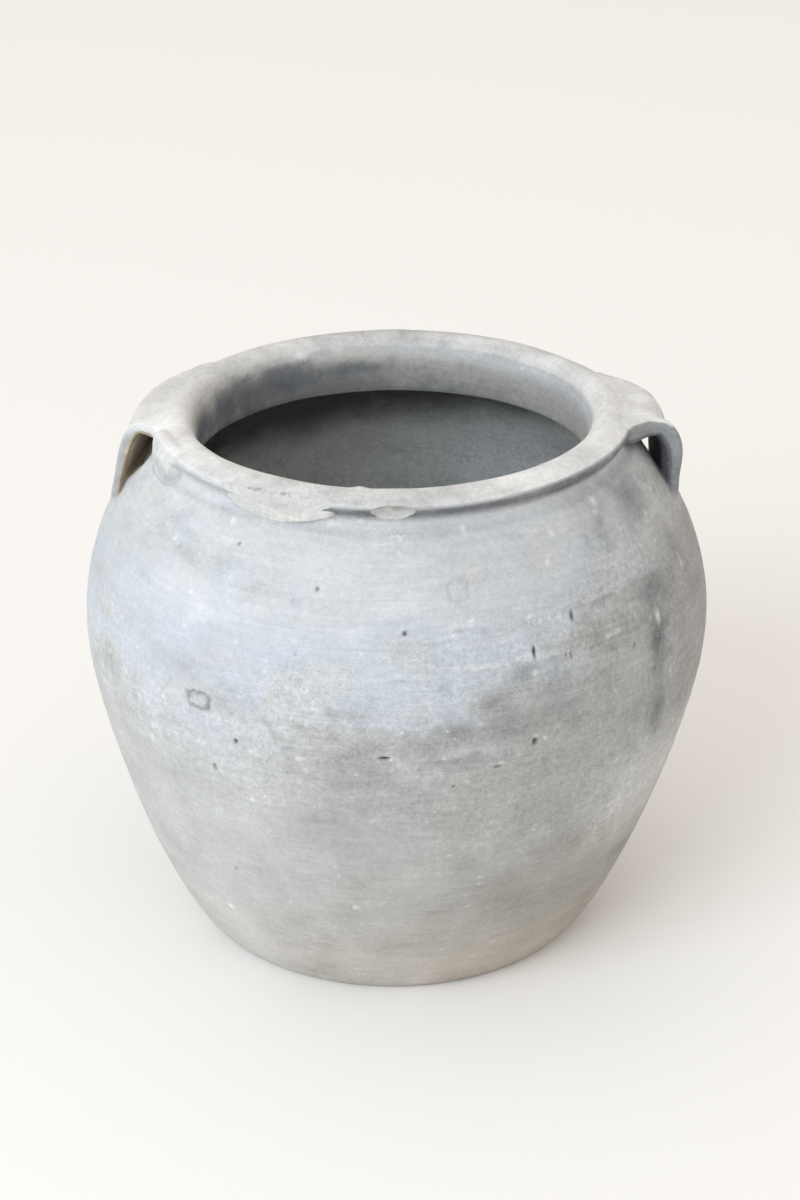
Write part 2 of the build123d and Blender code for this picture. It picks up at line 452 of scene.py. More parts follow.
class HalfSection:
    """The jar's half section as one line of (radius, height): out along the underside, up the outside,
    over the rim and down the inside to the middle of the floor. Stations are lengths along it."""

    def __init__(self, shape):
        self.shape = shape
        self.neck = np.array([shape.neck_radius, node_high("shoulder_wall")])
        self.groove = np.array([shape.groove_radius, node_low("rim_lip")])
        self.belly = np.array([shape.belly_radius, shape.belly_height])
        corners = np.vstack([self.outside(), self.rim(), self.inside()])
        self.points = softened(spaced(corners))
        self.stations = np.arange(len(self.points)) * STEP
        self.normals = line_normals(self.points)
        self.crest = self.stations[np.argmax(self.points[:, 1])]

    def lower_wall(self, inset):
        """Lower wall from foot to belly, moved into the clay by the inset."""
        shape = self.shape
        lean = np.array([math.sin(shape.foot_lean), math.cos(shape.foot_lean)])
        foot = np.array([shape.foot_radius, 0])
        start = foot + inset * np.array([-lean[1], lean[0]])
        end = self.belly - (inset, 0)
        shrink = np.linalg.norm(end - start) / np.linalg.norm(self.belly - foot)
        return bezier(start, start + shape.foot_pull * shrink * lean, end - (0, shape.belly_pull * shrink), end)

    def shoulder(self, inset, top):
        """Shoulder from the belly up to a height, moved into the clay by the inset."""
        run, rise = self.belly[0] - self.neck[0], self.neck[1] - self.belly[1]
        radius = (run**2 + rise**2) / (2 * run)
        centre = self.belly - (radius, 0)
        return arc(centre, radius - inset, 0, math.asin((top - self.belly[1]) / (radius - inset)))

    def outside(self):
        """From the middle of the underside up to the hollow of the neck."""
        run, drop = self.neck[0] - self.groove[0], self.groove[1] - self.neck[1]
        hollow = (run**2 + drop**2) / (2 * run)
        centre = self.groove + (hollow, 0)
        neck = arc(centre, hollow, heading(self.neck - centre) % math.tau, math.pi)
        return np.vstack([[(0, 0)], self.lower_wall(0), self.shoulder(0, self.neck[1]), neck])

    def rim(self):
        """From the hollow of the neck round the lip and over the crest to the throat."""
        shape = self.shape
        top = node_high("rim_lip")
        half = shape.lip_edge / 2
        edge = np.array([shape.lip_radius - half, top - shape.lip_drop - half])
        crest = np.array([shape.throat_radius + shape.crest_round, top])
        quarter = arc(np.zeros(2), 1, math.pi / 2, math.pi)
        roll = crest - (0, shape.crest_roll) + quarter * (shape.crest_round, shape.crest_roll)
        lip = arc(edge, half, math.radians(-75), math.radians(65))
        crown = bezier(lip[-1], lip[-1] + (-2 * MM, 0.9 * MM), crest + (3 * MM, 0), crest)
        return np.vstack([lip, crown, roll])

    def inside(self):
        """From the throat down to the middle of the floor."""
        shape = self.shape
        centre = np.array([shape.throat_radius, node_low("neck_collar")]) + shape.collar_round
        throat_foot = arc(centre, shape.collar_round, math.pi, 1.5 * math.pi)
        shoulder = self.shoulder(shape.wall, self.neck[1] - shape.collar_drop)[::-1]
        lower = self.lower_wall(shape.wall)[::-1]
        lower = lower[lower[:, 1] > shape.floor]
        return np.vstack([throat_foot, shoulder, lower, [(lower[-1][0], shape.floor), (0, shape.floor)]])

    def outer_station(self, height):
        """Station of a height on the outside, below the crest."""
        outside = self.stations < self.crest
        return float(np.interp(height, self.points[outside, 1], self.stations[outside]))

    def inner_station(self, height):
        """Station of a height on the inside, below the crest."""
        inside = self.stations > self.crest
        falling = self.points[inside, 1][::-1]
        return float(np.interp(height, np.maximum.accumulate(falling), self.stations[inside][::-1]))

    def at(self, stations):
        """Radius, height and outward normal at stations."""
        line = np.hstack([self.points, self.normals])
        return [np.interp(stations, self.stations, values)[:, None] for values in line.T]


def turned_by(bearing, degrees):
    """Angle from a bearing in degrees to bearings in radians, the short way round."""
    return (bearing - math.radians(degrees) + math.pi) % math.tau - math.pi


def strayed(bearing, height, shape):
    """How far outwards the wall strays at a bearing and height."""
    lobes = 0.55 * np.sin(2 * bearing + 0.7 + 9 * height) + 0.45 * np.sin(3 * bearing - 1.1 - 14 * height)
    lean = shape.lean * np.sin(bearing) * ease(20 * MM, 120 * MM, height) * ease(236 * MM, 170 * MM, height)
    return shape.stray * lobes * ease(0, 40 * MM, height) * ease(240 * MM, 200 * MM, height) + lean


def warped(bearing, radius, height, shape):
    """Radius and height of the hand-built jar from those of a true turned one."""
    radius = radius + strayed(bearing, height, shape) * ease(0, 30 * MM, radius)
    mouth = ease(190 * MM, 232 * MM, height)
    back = (1 - np.cos(bearing)) / 2 * ease(96 * MM, 105 * MM, radius) * ease(232 * MM, 240 * MM, height)
    height = height + mouth * math.tan(shape.tilt) * radius * np.sin(bearing) - shape.droop * back
    return radius, height


def bridged(bearing, radius, height):
    """Radius with the groove closed below the large chip, and how much clay that took."""
    turn = np.degrees(bearing)
    share = ease(BRIDGE[0], BRIDGE[1], turn) * ease(BRIDGE[3], BRIDGE[2], turn)
    low = BRIDGE_LOW + 4.2 * MM * ((turn - BRIDGE_MIDDLE) / 13) ** 2
    share = share * ease(low - MM, low + 0.3 * MM, height) * ease(BRIDGE_HIGH, BRIDGE_HIGH - 2 * MM, height)
    gap = BRIDGE_RADIUS - 0.08 * (height - BRIDGE_LOW) - radius
    gap = share * np.clip(gap, 0, None) * (gap < 8 * MM)
    return radius + gap, gap


def chipped(bearing, radius, height):
    """Radius and height with the lip's flakes broken off, and what is fresh there, where its creases take painted
    shade and where it takes painted shadow under the lip's edge.
    """
    across, above = radius - RIM_CORE[0], height - RIM_CORE[1]
    reach, facing = np.hypot(across, above), np.arctan2(above, across)
    place = around(bearing, radius, height)
    rough = 0.45 * MM * crumbs(place, 5 * MM) + 0.35 * MM * crumbs(place, 2 * MM)
    rough = rough + 0.2 * MM * crumbs(place, 0.9 * MM)
    limit, other = np.ones_like(reach), np.ones_like(reach)
    stain_and_shade = np.zeros_like(reach)
    for chip in CHIPS:
        share = np.abs(turned_by(bearing, chip.bearing)) / math.radians(chip.half_width)
        near = chip.bite + (RIM_REACH - chip.bite) * share**2.5
        centre = near + chip.hollow
        turn = facing - math.radians(chip.facing)
        room = chip.hollow**2 - (centre * np.sin(turn)) ** 2
        cut = centre * np.cos(turn) - np.sqrt(np.maximum(room, 0)) + rough
        cut = np.where((room > 0) & (np.cos(turn) > 0) & (share < 1), cut, 1.0)
        limit, other = np.minimum(limit, cut), np.minimum(other, np.maximum(limit, cut))
        stain_and_shade = np.where(share < 1, chip.stain_and_shade, stain_and_shade)
    limit = limit + ease(231 * MM, 229 * MM, height)
    fresh = ease(0, 0.5 * MM, reach - limit)
    flaky = ease(0.0, 0.5, crumbs(place, 2.5 * MM) + crumbs(place, 1.2 * MM))
    crease = fresh * ease(0.9 * MM, 0.1 * MM, other - limit) * flaky
    # On the small chip: painted shadow under the lip's edge, strongest at the top of the break.
    stain_and_shade = stain_and_shade * fresh * ease(-0.7, 0.5, facing) * (0.85 + 0.5 * crumbs(place, 2 * MM))
    scale = np.minimum(reach, limit) / reach
    broken = {"fresh": fresh, "crease": crease, "stain_and_shade": stain_and_shade}
    return RIM_CORE[0] + across * scale, RIM_CORE[1] + above * scale, broken


def sunken(pit, bearing, radius, height, ragged=1.0):
    """Share of a pit's depth at places on the outside."""
    side = turned_by(bearing, pit.bearing) * radius / pit.wide
    rise = (height - pit.height) / pit.tall
    if pit.outline:
        edge = (np.abs(side) ** 3 + np.abs(rise) ** 3) ** (1 / 3)
        return np.exp(-(((edge - ragged**0.6) / 0.17) ** 2))
    return np.exp(-(((side**2 + rise**2) * ragged) ** 1.5))


def pressed_in(bearing, radius, height):
    """Depth of the hollows inside the handles at places on the outside."""
    return sum(pit.depth * sunken(pit, bearing, radius, height) for pit in PRESSED)


def spotted(spot, bearing, radius, height, shreds=1.0):
    """Strength of a spot of colour at places on the jar."""
    side = turned_by(bearing, spot.bearing) * radius / spot.wide
    rise = (height - spot.height) / spot.tall
    return spot.strength * np.exp(-(side**2 + rise**2) * shreds)


def worn(bearing, radius, height):
    """Depth of pits and scored lines in the outside, and its patches of colour, painted shade and painted highlight.
    """
    depth, dark, pale, stain_and_shade, soot_and_shade = (np.zeros(np.broadcast_shapes(bearing.shape, height.shape)) for _ in range(5))
    place = around(bearing, radius, height)
    ragged = 1 + 0.35 * crumbs(place, 1.5 * MM)
    blotchy = np.maximum(1 + 0.7 * crumbs(place, 6 * MM) + 0.4 * crumbs(place, 2 * MM), 0.3)
    for spots, sheet, shreds in ((FLAKES, pale, ragged), (STAINS_AND_SHADE, stain_and_shade, blotchy), (SOOT_AND_SHADE, soot_and_shade, blotchy)):
        for spot in spots:
            patch = spotted(spot, bearing, radius, height, shreds)
            if sheet is pale and spot.wide > 3 * MM:
                patch = patch * ease(-0.05, 0.4, crumbs(place, 1.3 * MM))
            np.maximum(sheet, patch, out=sheet)
    for pit in PITS:
        share = sunken(pit, bearing, radius, height, ragged)
        depth = depth + pit.depth * share
        # Painted shade at the bottoms of the pits.
        dark = np.maximum(dark, pit.dark * share)
    depth = depth + pressed_in(bearing, radius, height)
    wander = 1.2 * MM * lumps(around(bearing, 100 * MM, 0 * height), 60 * MM)
    for score in SCORES:
        middle = math.radians((score.first + score.last) / 2)
        half = math.radians((score.last - score.first) / 2)
        along = ease(1.0, 0.6, np.abs(bearing - middle) / half) * (0.7 + 0.6 * crumbs(place, 7 * MM))
        wobble = wander + 0.7 * MM * crumbs(place + score.height, 9 * MM)
        rise = (height - score.height - wobble) / score.half_width
        depth = depth + score.depth * along * np.exp(-(rise**2))
        # Painted shade along the score and a painted highlight along its upper edge.
        flaky = score.edge * along * ease(-0.3, 0.4, crumbs(place, 3.5 * MM))
        dark = np.maximum(dark, flaky * np.exp(-((rise / 1.4) ** 2)))
        pale = np.maximum(pale, 3 * flaky * np.exp(-(((rise - 2.4) / 1.3) ** 2)))
    return depth, {"dark": dark, "pale": pale, "stain_and_shade": stain_and_shade, "soot_and_shade": soot_and_shade}


def rim_cracked(place):
    """How much of the crack across the rim is at places on the jar."""
    corners = np.array([around(math.radians(bearing), radius, 0)[:2] for radius, bearing in RIM_CRACK])
    gap = np.full(place.shape[:-1], np.inf)
    for start, end in zip(corners, corners[1:]):
        away = place[..., :2] - start
        along = np.clip(away @ (end - start) / ((end - start) @ (end - start)), 0, 1)
        gap = np.minimum(gap, np.linalg.norm(away - along[..., None] * (end - start), axis=-1))
    flaky = ease(-0.5, 0.2, crumbs(place, 3 * MM))
    return ease(1.1 * MM, 0.2 * MM, gap) * ease(236 * MM, 239 * MM, place[..., 2]) * flaky


def clay_relief(place):
    """How far the hand-wiped clay swells at places on the jar."""
    bearing = np.arctan2(place[..., 0], -place[..., 1])
    pressed = turned_by(bearing, -84) / 0.42, (place[..., 2] - 207 * MM) / (17 * MM)
    swell = -1.7 * MM * np.exp(-(pressed[0] ** 2) - pressed[1] ** 2)
    return swell + 0.30 * MM * lumps(place, 26 * MM) + 0.12 * MM * lumps(place * (1, 1, 3), 11 * MM)


def front_loaded(count):
    """Bearings all round, closer together at the front."""
    even = np.linspace(-math.pi, math.pi, count, endpoint=False)
    return even - 0.6 * np.sin(even)


BEARINGS = front_loaded(760)

# Radius of the flat face in the middle of the floor
FLOOR_MIDDLE = 5 * MM


def skin(section, stations):
    """Points of the jar's clay surface, one row for each station and one column for each bearing, and
    what its finish needs to know of each point."""
    radius, height, out, up = section.at(stations)
    bearing = BEARINGS[None, :]
    height = height + 0 * bearing
    outside = ease(section.crest - 6 * MM, section.crest - 16 * MM, stations)[:, None]
    inside = ease(3 * MM, 19 * MM, stations[:, None] - section.crest - 5 * MM * np.sin(bearing))
    place = around(bearing, radius, height)
    nib = 0.8 * MM * np.exp(-((turned_by(bearing, -8) / 0.03) ** 2))
    nib = nib * ease(90 * MM, 92 * MM, radius) * ease(96 * MM, 94 * MM, radius)
    relief = clay_relief(place) + nib * ease(240 * MM, 242 * MM, height)
    depth, looks = worn(bearing, radius, height)
    looks = {name: values * (inside if name == "soot_and_shade" else outside) for name, values in looks.items()}
    brim = ease(0, 3 * MM, stations - section.crest)[:, None]
    for spot in BRIM_FLECKS:
        looks["pale"] = np.maximum(looks["pale"], brim * spotted(spot, bearing, radius, height))
    crack = rim_cracked(place)
    looks["dark"] = np.maximum(looks["dark"], 0.35 * crack)
    relief = relief * ease(1 * MM, 12 * MM, height) - depth * outside - 0.6 * MM * crack
    radius, height = radius + relief * out, np.maximum(height + relief * up, 0)
    radius, bridge = bridged(bearing, radius, height)
    radius, height, broken = chipped(bearing, radius, height)
    fresh = np.maximum(broken["fresh"], ease(0.2 * MM, 1.0 * MM, bridge))
    # Painted shade in the creases of the break.
    looks["dark"] = np.maximum(looks["dark"], 0.4 * broken["crease"])
    radius, height = warped(bearing, radius, height, section.shape)
    # On the right the pale rim band stops shorter and the painted shadow under the lip reaches up over the lip's
    # outer side.
    right = ease(0.2, 0.9, bearing) * ease(2.9, 2.0, bearing)
    along = section.crest - stations[:, None]
    drop = 1.2 * MM * right
    top = ease(12.2 * MM - drop, 10.2 * MM - drop, along) * ease(-12 * MM, -6 * MM, along)
    front = ease(-1.2, -1.0, bearing) * (0.3 + 0.65 * ease(-0.75, -0.4, bearing)) * ease(2.9, 2.0, bearing)
    # Painted shadow in the groove under the lip, from the left front round past the right, fainter at the left front;
    # it goes into the same mark as the stains.
    under = ease(21 * MM, 16 * MM, along) * ease(11 * MM, 13.5 * MM, along + 1.6 * MM * right)
    under = under * (1 - fresh) * front
    looks["stain_and_shade"] = np.maximum(np.maximum(looks["stain_and_shade"], under) * (1 - fresh), broken["stain_and_shade"])
    looks |= {"inside": inside, "fresh": fresh * (1 - broken["stain_and_shade"]), "rim": top * (1 - fresh)}
    # Sandy tint on the small chip's painted shadow.
    looks["sand"] = 0.4 * broken["stain_and_shade"]
    return around(bearing, radius, height), looks


def surface_normals(points):
    """Normals of a grid of points whose columns close round the jar."""
    across = np.roll(points, -1, axis=1) - np.roll(points, 1, axis=1)
    along = np.gradient(points, axis=0)
    normals = np.cross(across, along)
    return normals / np.maximum(np.linalg.norm(normals, axis=2, keepdims=True), 1e-12)


def strip(section, start, end, spacing):
    """Points and normals between two stations. One row beyond each end keeps the shading unbroken."""
    count = max(round((end - start) / spacing), 2)
    gap = (end - start) / count
    stations = start + gap * np.arange(-1, count + 2)
    points, looks = skin(section, np.clip(stations, 0, section.stations[-1]))
    looks = {name: values[1:-1] for name, values in looks.items()}
    return points[1:-1], surface_normals(points)[1:-1], looks


def turned_piece(name, section, outer, inner, closed=True):
    """Ring of clay between two stations on the outside and two on the inside, each with its spacing."""
    rows = [strip(section, *outer), strip(section, *inner)]
    points = np.vstack([row[0] for row in rows])
    normals = np.vstack([row[1] for row in rows])
    count, columns = points.shape[:2]
    row = np.arange(count if closed else count - 1)[:, None]
    column = np.arange(columns)[None, :]
    next_row, next_column = (row + 1) % count, (column + 1) % columns
    corners = [row * columns + column, row * columns + next_column]
    corners += [next_row * columns + next_column, next_row * columns + column]
    faces = np.stack(corners, axis=-1).reshape(-1, 4)
    if not closed:
        first_ring, last_ring = np.arange(columns), np.arange(columns) + (count - 1) * columns
        faces = [*faces.tolist(), first_ring[::-1].tolist(), last_ring.tolist()]
    mesh = bpy.data.meshes.new(name)
    mesh.from_pydata(points.reshape(-1, 3), [], faces)
    mesh.polygons.foreach_set("use_smooth", np.ones(len(faces), bool))
    mesh.normals_split_custom_set_from_vertices(normals.reshape(-1, 3))
    for look in rows[0][2]:
        values = np.vstack([part[2][look] for part in rows])
        mark(mesh, look, values.ravel())
    return piece_of(name, mesh)


def mark(mesh, name, values):
    """Note a value from 0 to 1 on each point of a mesh, for its finish."""
    mesh.attributes.new(name, "FLOAT", "POINT").data.foreach_set("value", values.astype(np.float32))


def piece_of(name, mesh):
    """Object that shows a mesh and rides on the jar."""
    piece = bpy.data.objects.new(name, mesh)
    bpy.context.scene.collection.objects.link(piece)
    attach(piece, "root")
    return piece


# Handles


@dataclass
class Strap:
    """Strap handle: the node it stands for, its side of the jar, the bearings of its front and back edge in
    degrees, how far each edge spreads towards the lip, the radius where that begins, its outer line as
    (radius, height) in millimetres from the lip down, its thickness at lip, bend and heel of the front edge, how
    round and ragged its edges are, how far it is drawn in behind the front edge and how much it thickens there."""

    node: str
    side: int
    front: float
    back: float
    front_flare: float
    back_flare: float
    flare_radius: float
    outer_line: tuple
    thickness: tuple
    edge_round: float
    ragged: float
    drawn_in: float
    swell: float


STRAPS = (
    Strap(
        "left_handle", -1, 84.5, 109, 9 * MM, 34 * MM, 116 * MM,
        ((94, 242.0), (107, 242.0), (111.5, 241.6), (114.5, 240.0), (116.8, 237.0), (118.6, 233.6), (120.4, 228.6),
         (122.2, 221.5), (124.6, 211.2), (126.0, 204.5), (126.0, 195)),
        (5.4 * MM, 4.4 * MM, 2.4 * MM), 0.8 * MM, 0.9 * MM, 2.0 * MM, 6.5 * MM,
    ),
    Strap(
        "right_handle", 1, 84.6, 105.5, 11 * MM, 22 * MM, 119 * MM,
        ((94, 241.8), (112, 241.8), (119.3, 241.5), (122.7, 239.4), (125.2, 235.4), (127.1, 231.3), (128.1, 226.3),
         (127.8, 221.7), (126.7, 215.4), (126.4, 209), (125.4, 201), (122, 193)),
        (9.6 * MM, 7.9 * MM, 3.2 * MM), 2.6 * MM, 0.3 * MM, 4.5 * MM, 0.0,
    ),
)

# Clay smeared over the groove beside the left handle: bearing, height, radius, half width, half height, half depth
SMEAR = (-69.2, 232 * MM, 102.4 * MM, 14.9 * MM, 12 * MM, 5.4 * MM)


def smear_distance(bearing, radius, height):
    """Distance outside the smeared clay, which ends in an upright edge."""
    facing, level, reach, wide, tall, deep = SMEAR
    side = np.abs(turned_by(bearing, facing)) * radius / wide
    share = side**6 + ((height - level) / tall) ** 2 + ((radius - reach) / deep) ** 2
    return (np.sqrt(share) - 1) * deep


def rounded_min(one, other, reach):
    """Smaller of two distances, with a hollow of about the reach where they meet."""
    share = np.maximum(reach - np.abs(one - other), 0) / reach
    return np.minimum(one, other) - share**2 * reach / 4


def nearest(line, normals, radius, height):
    """Signed distance to a line of the half section, and which of its points is nearest."""
    places = np.stack(np.broadcast_arrays(radius, height), axis=-1)
    gaps = np.linalg.norm(places[..., None, :] - line, axis=-1)
    index = gaps.argmin(axis=-1)
    return ((places - line[index]) * normals[index]).sum(axis=-1), gaps.min(axis=-1), index


def strap_field(strap, section, axes):
    """Distance outside a strap and the clay smoothed round its roots, over a grid of places, and how far
    each place lies inside its eye."""
    radius, bearing, height = np.meshgrid(*axes, indexing="ij", sparse=True)
    first, last = section.outer_station(185 * MM), section.crest + 14 * MM
    near = (section.stations > first) & (section.stations < last)
    flat_radius, flat_height = radius[:, 0], height[:, 0]
    jar = nearest(section.points[near], section.normals[near], flat_radius, flat_height)[0][:, None, :]
    line = softened(spaced(np.array(strap.outer_line) * MM), 8)
    over, _, index = nearest(line, -line_normals(line), flat_radius, flat_height)
    over, along = over[:, None, :], (index / (len(line) - 1))[:, None, :]
    thick = np.interp(along, (0.15, 0.5, 1), strap.thickness)
    turn = strap.side * bearing
    flare = ease(strap.flare_radius, 104 * MM, radius)
    behind_edge = np.degrees(turn) - strap.front
    drawn = strap.drawn_in * ease(0.8, 4.5, behind_edge) * ease(0.22, 0.45, along)
    swell = strap.swell * ease(0, 12, behind_edge) * ease(0.1, 0.3, along)
    over, thick = over + drawn, thick - drawn * 0.5 + swell
    behind = (turn - math.radians(strap.back)) * 112 * MM - strap.back_flare * flare
    ahead = (math.radians(strap.front) - turn) * 112 * MM - strap.front_flare * flare**2
    band = np.maximum(np.maximum(over, -over - thick), np.maximum(behind, ahead))
    skirt, root_depth, sunk = 6 * MM, 3 * MM, 0.2 * MM
    smear = smear_distance(bearing, radius, height) if strap.side < 0 else np.full_like(band, 1.0)
    close = (np.minimum(band, smear) < skirt + 4 * MM) & (jar > -root_depth - MM)
    grid = np.broadcast_arrays(radius, bearing, height, over, thick, behind, ahead, jar, smear)
    radius, bearing, height, over, thick, behind, ahead, jar, smear = (values[close] for values in grid)
    place = around(bearing, radius, height)
    jar = jar - clay_relief(place) + pressed_in(bearing, radius, height)
    rough = strap.ragged * crumbs(place, 3.5 * MM)
    flat = np.maximum(over, -over - thick) + strap.edge_round - 0.3 * MM * lumps(place, 12 * MM)
    edge = np.maximum(behind, ahead + rough) + strap.edge_round - 0.8 * MM * lumps(place, 17 * MM)
    band = np.hypot(np.maximum(flat, 0), np.maximum(edge, 0)) + np.minimum(np.maximum(flat, edge), 0)
    band = band - strap.edge_round
    band = rounded_min(band, smear, 5 * MM)
    blend = 1.6 * MM + 4 * MM * ease(0, 3 * MM, over) * ease(226 * MM, 212 * MM, height)
    blend = blend + 2.4 * MM * ease(233 * MM, 238 * MM, height) * ease(98 * MM, 104 * MM, radius)
    solid = np.maximum.reduce([rounded_min(band, jar + sunk, blend), -jar - root_depth, band - skirt])
    field, eye = np.full(close.shape, skirt), np.zeros(close.shape)
    field[close] = solid
    lining = ease(0.5, 0.8, -over / thick)
    end_face = ease(-1.6 * MM, -0.4 * MM, ahead) * ease(0.62, 0.85, -over / thick)
    beyond = ease(-1.2 * MM, -0.2 * MM, -over - thick) * ease(0.5 * MM, -1.5 * MM, ahead)
    lining = np.maximum(lining, end_face) * ease(0.3 * MM, 1.2 * MM, np.minimum(jar, smear))
    eye[close] = np.maximum(lining, beyond) * ease(-1 * MM, -6 * MM, behind)
    return field, eye


def net(field):
    """Closed mesh round the part of a grid where a field is below zero, in steps of the grid."""
    total, hits, rings = np.zeros((*field.shape, 3)), np.zeros(field.shape), []
    for axis in range(3):
        first = np.delete(field, -1, axis)
        last = np.delete(field, 0, axis)
        at = np.argwhere((first < 0) != (last < 0))
        start, end = first[tuple(at.T)], last[tuple(at.T)]
        spot = at.astype(float)
        spot[:, axis] += start / (start - end)
        sides = [other for other in range(3) if other != axis]
        ring = []
        for step in ((0, 0), (1, 0), (1, 1), (0, 1)):
            cell = at.copy()
            cell[:, sides] -= step
            np.add.at(total, tuple(cell.T), spot)
            np.add.at(hits, tuple(cell.T), 1)
            ring.append(cell)
        outward = (start < 0) != (axis == 1)
        ring = np.stack(ring, axis=1)
        rings.append(np.where(outward[:, None, None], ring, ring[:, ::-1]))
    number = np.cumsum(hits.ravel() > 0).reshape(hits.shape) - 1
    rings = np.concatenate(rings)
    used = hits > 0
    return total[used] / hits[used][:, None], number[tuple(np.moveaxis(rings, -1, 0))]


def strap_piece(strap, section):
    """Strap handle as one closed skin that fades into rim and shoulder."""
    cell = 0.6 * MM
    middle = math.radians(strap.side * (strap.front + strap.back) / 2)
    low = np.array([90 * MM, middle - 0.72, 190 * MM])
    high = np.array([134 * MM, middle + 0.72, 248 * MM])
    steps = np.array([cell, cell / (112 * MM), cell])
    axes = [np.arange(start, end, step) for start, end, step in zip(low, high, steps)]
    field, eye = strap_field(strap, section, axes)
    points, faces = net(np.pad(field[1:-1, 1:-1, 1:-1], 1, constant_values=cell))
    eye = eye[tuple(np.rint(points).astype(int).T)]
    points = low + points * steps
    radius, height = warped(points[:, 1], points[:, 0], points[:, 2], section.shape)
    mesh = bpy.data.meshes.new(strap.node)
    mesh.from_pydata(around(points[:, 1], radius, height), [], faces)
    mesh.polygons.foreach_set("use_smooth", np.ones(len(faces), bool))
    facing = np.zeros(len(points) * 3, np.float32)
    mesh.vertex_normals.foreach_get("vector", facing)
    level = points[:, 2]
    top = ease(0.45, 0.8, facing[2::3]) * ease(225 * MM, 234 * MM, level)
    depth = (strap.side * points[:, 1] - math.radians(strap.front)) * 112 * MM
    front = ease(6 * MM, 2 * MM, depth)
    if strap.side < 0:
        smear = smear_distance(*points[:, [1, 0, 2]].T)
        smeared = ease(3 * MM, 1 * MM, smear) * ease(222 * MM, 228 * MM, level)
        crumbly = np.minimum(0.75 + 0.35 * crumbs(points * (1, 112 * MM, 1), 3 * MM), 1)
        lit = ease(238 * MM, 228 * MM, level) * ease(13 * MM, 4 * MM, depth) * crumbly
        # Painted shade on the strap's front below the rim.
        shaded = 0.4 * front * ease(240 * MM, 232 * MM, level) * ease(200 * MM, 208 * MM, level)
        mark(mesh, "rim", np.maximum(top, 0.5 * smeared) * (1 - eye))
        mark(mesh, "sand", eye)
        # Painted shade deep in the eye, away from its lit front.
        mark(mesh, "dark", 0.55 * eye * (1 - lit))
        mark(mesh, "stain_and_shade", shaded * (1 - top))
    else:
        mark(mesh, "rim", top)
        # Painted shade on the strap's front face and edge below its top; the eye is darkened too, partly stain and
        # partly painted shade.
        shaded_front = 0.62 * front * ease(200 * MM, 210 * MM, level)
        mark(mesh, "stain_and_shade", np.maximum(eye, shaded_front) * (1 - top))
    piece = piece_of(f"jar_{strap.node}", mesh)
    smooth = piece.modifiers.new("rubbed", "SMOOTH")
    smooth.factor = 0.5
    smooth.iterations = 3
    return piece


# Finishes


def linear(value):
    """Colour for a shader socket from a colour as seen on a screen."""
    value = np.array(value)
    return (*np.where(value <= 0.04045, value / 12.92, ((value + 0.055) / 1.055) ** 2.4), 1.0)


def add(tree, kind, settings=None, sockets=None, output=0):
    """New shader node of a kind, with its settings and the values or links of its sockets."""
    node = tree.nodes.new(kind)
    for name, value in (settings or {}).items():
        setattr(node, name, value)
    for name, value in (sockets or {}).items():
        socket = node.inputs[name]
        if isinstance(value, Shade):
            tree.links.new(value.socket, socket)
        elif socket.type == "VECTOR" and not hasattr(value, "__len__"):
            socket.default_value = (value,) * 3
        else:
            socket.default_value = value
    return Shade(node.outputs[output])


class Shade:
    """A shader socket that takes part in Python expressions."""

    def __init__(self, socket):
        self.socket = socket
        self.tree = socket.id_data

    def maths(self, operation, *values):
        """Math node on values, or Vector Math node where one of them is a vector or a colour."""
        single = all(value.socket.type == "VALUE" for value in values if isinstance(value, Shade))
        kind = "ShaderNodeMath" if single else "ShaderNodeVectorMath"
        return add(self.tree, kind, {"operation": operation}, dict(enumerate(values)))

    def __add__(self, other):
        return self.maths("ADD", self, other)

    __radd__ = __add__

    def __sub__(self, other):
        return self.maths("SUBTRACT", self, other)

    def __rsub__(self, other):
        return self.maths("SUBTRACT", other, self)

    def __mul__(self, other):
        return self.maths("MULTIPLY", self, other)

    __rmul__ = __mul__

    def __truediv__(self, other):
        return self.maths("DIVIDE", self, other)

    def __rtruediv__(self, other):
        return self.maths("DIVIDE", other, self)

    def ramp(self, low, high):
        """Smooth step from 0 at low to 1 at high."""
        settings = {"interpolation_type": "SMOOTHSTEP"}
        return add(self.tree, "ShaderNodeMapRange", settings, {"Value": self, "From Min": low, "From Max": high})

    def noise(self, scale, detail=4.0, roughness=0.55):
        """Noise at this place, about zero."""
        sockets = {"Vector": self, "Scale": scale, "Detail": detail, "Roughness": roughness}
        return add(self.tree, "ShaderNodeTexNoise", None, sockets) - 0.5

    def mix(self, one, other):
        """One colour where this share is 0, the other where it is 1."""
        sockets = {"Factor": self, 6: one, 7: other}
        return add(self.tree, "ShaderNodeMix", {"data_type": "RGBA"}, sockets, output=2)


